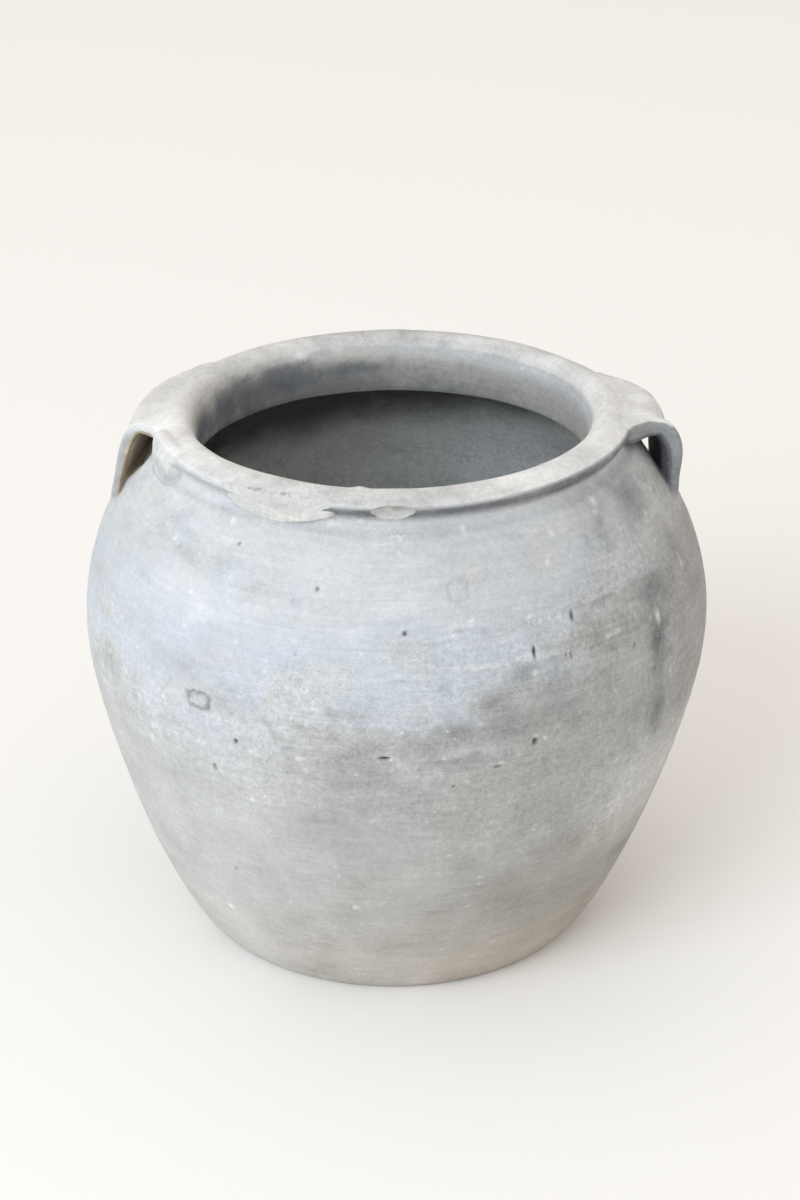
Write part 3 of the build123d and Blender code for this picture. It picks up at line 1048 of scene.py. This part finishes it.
def clay(name, colours):
    """Fired clay: wiped in rings, bluish where burnished, brown towards the foot, smoked inside, with painted light
    from the left and painted shade under the lip, below the collar and in pits, creases and score lines.
    """
    material = bpy.data.materials.new(name)
    material.use_nodes = True
    tree = material.node_tree
    shader = tree.nodes["Principled BSDF"]
    paint = {key: linear(getattr(colours, key)) for key in colours.__annotations__}
    place = add(tree, "ShaderNodeTexCoord", output="Object")
    x, y, z = (add(tree, "ShaderNodeSeparateXYZ", None, {0: place}, output=axis) for axis in range(3))
    look = {
        key: add(tree, "ShaderNodeAttribute", {"attribute_name": key}, output="Fac")
        for key in ("inside", "rim", "fresh", "dark", "pale", "stain_and_shade", "soot_and_shade", "sand")
    }
    square = x * x + y * y
    reach = square.maths("SQRT", square)
    ring_x, ring_y = x / reach, y / reach
    wipe = add(tree, "ShaderNodeCombineXYZ", None, {0: ring_x * 5, 1: ring_y * 5, 2: z * 700}).noise(1.0, 3.0, 0.6)
    band = add(tree, "ShaderNodeCombineXYZ", None, {0: ring_x * 2, 1: ring_y * 2, 2: z * 70}).noise(1.0, 5.0, 0.6)
    cloud = place.noise(20.0, 5.0, 0.6)
    patch = place.noise(42.0, 3.0, 0.5)
    mottle = place.noise(75.0, 8.0, 0.7)
    speck = place.noise(380.0, 4.0, 0.6)
    grain = place.noise(1300.0, 2.0, 0.6)

    level = z - x * 0.25 - x * x * 1.5 + cloud * 0.05 + mottle * 0.03
    blue = (level + band * 0.09 + wipe * 0.02).ramp(0.130, 0.172)
    blue = blue * (x + cloud * 0.08 + mottle * 0.05).ramp(0.130, 0.092)
    earth = (level + x * 0.15 + band * 0.05).ramp(0.100, 0.040)
    foot = (z + mottle * 0.03 + x * 0.03).ramp(0.060, 0.010)
    bloom = (z + cloud * 0.08 + band * 0.06).ramp(0.190, 0.232)
    dust = (cloud * 0.12 + mottle * 0.06 - x).ramp(-0.050, 0.090) * (z + band * 0.05).ramp(0.178, 0.140)
    skin = (blue * (patch + cloud * 0.6 + band * 0.5).ramp(-0.24, 0.10)).mix(paint["ash"], paint["blue"])
    skin = blue.mix(paint["grey"], skin)
    skin = earth.mix(skin, paint["earth"])
    skin = foot.mix(skin, paint["foot"])
    skin = (bloom * 0.75 + dust * 0.60).mix(skin, paint["ash"])
    # Paler patch on the lower right of the belly.
    lower_right_pale = (x + mottle * 0.04).ramp(0.072, 0.112) * (z + band * 0.03).ramp(0.052, 0.085)
    lower_right_pale = lower_right_pale * (z + cloud * 0.03).ramp(0.138, 0.105)
    skin = (lower_right_pale * 0.55).mix(skin, paint["pale"])
    grime = (cloud * 0.5 + mottle + band * 0.5).ramp(-0.08, -0.35)
    skin = (grime * 0.22).mix(skin, paint["stain_and_shade"])
    # Stains, and painted shade under the lip, on and under the handles and on the small chip.
    skin = (look["stain_and_shade"] * (1.0 + mottle * 1.5)).mix(skin, paint["stain_and_shade"])
    crown = x.ramp(-0.1, 0.1).mix(paint["rim"], paint["worn"])
    skin = (look["rim"] + mottle * 0.6).ramp(0.3, 0.8).mix(skin, crown)
    rubbed = (speck + mottle * 0.6 + wipe * 0.3).ramp(0.17, 0.30)
    skin = (rubbed * 0.5).mix(skin, paint["pale"])

    throat = z.ramp(0.2165, 0.2195)
    smoke = 0.80 - x * 6.0 + cloud * 1.5 + mottle * 1.2 + band * 0.8
    smoked = (z + mottle * 0.02 + speck * 0.01).ramp(0.240, 0.220) * smoke
    within = throat.mix(paint["inside"], smoked.mix(paint["ochre"], paint["smoke"]))
    soot_and_shade = (look["soot_and_shade"] + mottle * 1.8 + patch * 0.5 + speck * 0.9).ramp(0.05, 0.95)
    within = (soot_and_shade * 0.80).mix(within, paint["soot_and_shade"])
    # Painted shade below the collar inside, reaching lower on the left, together with soot.
    under = (1 - throat) * (z - x * 0.18 + cloud * 0.03).ramp(0.176, 0.203)
    within = (under * 0.85).mix(within, paint["black"])
    skin = (look["inside"] + mottle * 0.8 + cloud * 0.5).ramp(0.25, 0.95).mix(skin, within)

    skin = look["sand"].mix(skin, paint["sand"])
    broken = (mottle + speck * 0.5 + wipe * 0.3).ramp(0.0, 0.22).mix(paint["fresh"], paint["cream"])
    skin = look["fresh"].mix(skin, broken)
    # Pale flakes and flecks, and painted highlights along the upper edges of score lines.
    skin = look["pale"].mix(skin, paint["pale"])
    # Painted shade in pits, creases, score lines and deep in the left handle's eye; the rim crack takes this dark
    # too.
    skin = look["dark"].mix(skin, paint["pit"])
    trail = add(tree, "ShaderNodeCombineXYZ", None, {0: ring_x, 1: ring_y, 2: z * 130}).noise(1.0, 1.0, 0.4)
    trail = trail.maths("ABSOLUTE", trail).ramp(0.060, 0.0)
    trail = trail * (mottle + speck * 0.5 + cloud * 0.6).ramp(0.0, 0.16) * (1 - look["inside"])
    trail = trail * z.ramp(0.145, 0.165) * z.ramp(0.222, 0.205) * x.ramp(-0.10, 0.02)
    belly = (z + x * 0.15 + cloud * 0.1).ramp(0.085, 0.125) * (z - x * 0.25 + cloud * 0.1).ramp(0.215, 0.170)
    coarse = 0.45 + 0.45 * belly
    rim_tone = x * 1.1 - y * 0.8 - y * y * 22 + cloud * 0.5 + mottle * 0.45 - x.ramp(0.098, 0.122) * 0.10
    # The 1 - x * 0.7 term is painted light: the clay is lighter towards the left, where the window falls, and darker
    # towards the right.
    tone = 1 - x * 0.7 + look["rim"] * rim_tone - look["inside"] * x * 0.9
    tone = tone + wipe * 0.24 + band * 0.26 + cloud * 0.30 + patch * 0.20
    # Painted light on the upper left shoulder; darker low on the right by the foot.
    tone = tone + bloom * x.ramp(-0.03, -0.10) * 0.12 - x.ramp(0.05, 0.09) * z.ramp(0.046, 0.020) * 0.14
    tone = tone - trail * 0.07 + coarse * (mottle * 0.50 + speck * 0.72 + grain * 0.75)
    tree.links.new((skin * tone).socket, shader.inputs["Base Color"])
    rough = 0.82 + mottle * 0.4 - band * 0.2 + look["fresh"] * 0.10 - blue * 0.06
    tree.links.new(rough.socket, shader.inputs["Roughness"])
    shader.inputs["Specular IOR Level"].default_value = 0.2
    relief = wipe * 0.10 + band * 0.20 + coarse * (mottle * 0.60 + speck * 0.24 + grain * 0.10) - trail * 0.18
    bump = add(tree, "ShaderNodeBump", None, {"Strength": 1.0, "Distance": MM, "Height": relief})
    tree.links.new(bump.socket, shader.inputs["Normal"])
    return material


# Operators


class JAR_OT_walls(bpy.types.Operator):
    """Build the floor and the three courses of the wall"""

    bl_idname = "jar.walls"
    bl_label = "Floor and Walls"

    def execute(self, context):
        section = HalfSection(context.scene.jar_shape)
        finish = clay("body_clay", context.scene.jar_clay)
        courses = ["floor_disc", "lower_wall", "belly_wall", "shoulder_wall"]
        outer = [section.outer_station(node_low(node)) for node in courses[1:]]
        inner = [section.inner_station(node_high(node)) for node in courses[:-1]]
        outer = [FLOOR_MIDDLE, *outer, section.outer_station(section.neck[1])]
        seat = section.inner_station(section.neck[1] - section.shape.collar_drop)
        inner = [section.stations[-1] - FLOOR_MIDDLE, *inner, seat]
        for index, node in enumerate(courses):
            outside = (outer[index], outer[index + 1], 1.2 * MM if index < 2 else 0.8 * MM)
            inside = (inner[index + 1], inner[index], 6 * MM)
            piece = turned_piece(f"jar_{node}", section, outside, inside, closed=index > 0)
            piece.data.materials.append(finish)
            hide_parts(node)
        return {"FINISHED"}


class JAR_OT_mouth(bpy.types.Operator):
    """Build the neck collar and the rim with its lip"""

    bl_idname = "jar.mouth"
    bl_label = "Neck and Rim"

    def execute(self, context):
        section = HalfSection(context.scene.jar_shape)
        finish = clay("rim_clay", context.scene.jar_clay)
        neck = section.outer_station(section.neck[1])
        groove = section.outer_station(section.groove[1])
        throat = section.inner_station(section.groove[1])
        seat = section.inner_station(section.neck[1] - section.shape.collar_drop)
        collar = turned_piece("jar_neck_collar", section, (neck, groove, 0.6 * MM), (throat, seat, 1.0 * MM))
        middle = section.crest
        rim = turned_piece("jar_rim_lip", section, (groove, middle, 0.5 * MM), (middle, throat, 0.5 * MM))
        for piece, node in ((collar, "neck_collar"), (rim, "rim_lip")):
            piece.data.materials.append(finish)
            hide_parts(node)
        return {"FINISHED"}


class JAR_OT_handles(bpy.types.Operator):
    """Build the two strap handles"""

    bl_idname = "jar.handles"
    bl_label = "Handles"

    def execute(self, context):
        section = HalfSection(context.scene.jar_shape)
        finish = clay("handle_clay", context.scene.jar_clay)
        for strap in STRAPS:
            piece = strap_piece(strap, section)
            piece.data.materials.append(finish)
            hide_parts(strap.node)
        return {"FINISHED"}


class JAR_OT_stage(bpy.types.Operator):
    """Set the floor, the light and the camera"""

    bl_idname = "jar.stage"
    bl_label = "Stage"

    def execute(self, context):
        stage = context.scene.jar_stage
        self.floor(stage)
        self.light(context.scene, stage)
        self.camera(context.scene, stage)
        context.scene.view_settings.view_transform = "Standard"
        return {"FINISHED"}

    def floor(self, stage):
        """Pale floor, large enough to fill the view."""
        half = 4.0
        mesh = bpy.data.meshes.new("stage_floor")
        mesh.from_pydata([(-half, -half, 0), (half, -half, 0), (half, half, 0), (-half, half, 0)], [], [(0, 1, 2, 3)])
        floor = bpy.data.objects.new("stage_floor", mesh)
        bpy.context.scene.collection.objects.link(floor)
        material = bpy.data.materials.new("stage_floor")
        material.use_nodes = True
        shader = material.node_tree.nodes["Principled BSDF"]
        shader.inputs["Base Color"].default_value = linear(stage.floor)
        shader.inputs["Roughness"].default_value = 0.9
        mesh.materials.append(material)

    def light(self, scene, stage):
        """Large window on the left and an even sky."""
        lamp = bpy.data.lights.new("window", "AREA")
        lamp.energy = stage.window
        lamp.color = linear(stage.window_tint)[:3]
        lamp.shape = "DISK"
        lamp.size = 2.7
        window = bpy.data.objects.new("window", lamp)
        side, rise, away = math.radians(-36), math.radians(31), 4.0
        middle = Vector((0, 0, 0.12))
        toward = Vector((math.cos(rise) * math.sin(side), -math.cos(rise) * math.cos(side), math.sin(rise)))
        window.location = middle + away * toward
        window.rotation_euler = (-toward).to_track_quat("-Z", "Y").to_euler()
        scene.collection.objects.link(window)
        world = bpy.data.worlds.new("sky")
        world.use_nodes = True
        background = world.node_tree.nodes["Background"]
        background.inputs["Color"].default_value = linear(stage.sky_tint)
        background.inputs["Strength"].default_value = stage.sky
        scene.world = world

    def camera(self, scene, stage):
        """Camera at the photograph's height and distance."""
        lens = bpy.data.cameras.new("camera")
        lens.lens = stage.lens
        lens.sensor_fit = "VERTICAL"
        lens.sensor_height = 36
        camera = bpy.data.objects.new("camera", lens)
        target = Vector((stage.aside, 0, stage.aim))
        away = Vector((0, -math.cos(stage.lift), math.sin(stage.lift)))
        camera.location = target + away * stage.distance
        camera.rotation_euler = (-away).to_track_quat("-Z", "Y").to_euler()
        scene.collection.objects.link(camera)
        scene.camera = camera


class JAR_PT_panel(bpy.types.Panel):
    """Lists the steps that build the jar"""

    bl_label = "Earthenware Jar"
    bl_idname = "JAR_PT_panel"
    bl_space_type = "VIEW_3D"
    bl_region_type = "UI"
    bl_category = "Jar"

    def draw(self, context):
        for step in STEPS:
            self.layout.operator(step.bl_idname)
        for settings in (context.scene.jar_shape, context.scene.jar_clay, context.scene.jar_stage):
            box = self.layout.box()
            for name in settings.__annotations__:
                box.prop(settings, name)


STEPS = (JAR_OT_walls, JAR_OT_mouth, JAR_OT_handles, JAR_OT_stage)
SETTINGS = {"jar_shape": JarShape, "jar_clay": JarClay, "jar_stage": JarStage}
CLASSES = (*SETTINGS.values(), *STEPS, JAR_PT_panel)


def register():
    """Make the settings, the steps and the panel known to Blender."""
    for one in CLASSES:
        bpy.utils.register_class(one)
    for name, group in SETTINGS.items():
        setattr(bpy.types.Scene, name, PointerProperty(type=group))


def unregister():
    """Take them away again."""
    for name in SETTINGS:
        delattr(bpy.types.Scene, name)
    for one in reversed(CLASSES):
        bpy.utils.unregister_class(one)


def main():
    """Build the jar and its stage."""
    register()
    bpy.ops.jar.walls()
    bpy.ops.jar.mouth()
    bpy.ops.jar.handles()
    bpy.ops.jar.stage()


if __name__ == "__main__":
    main()
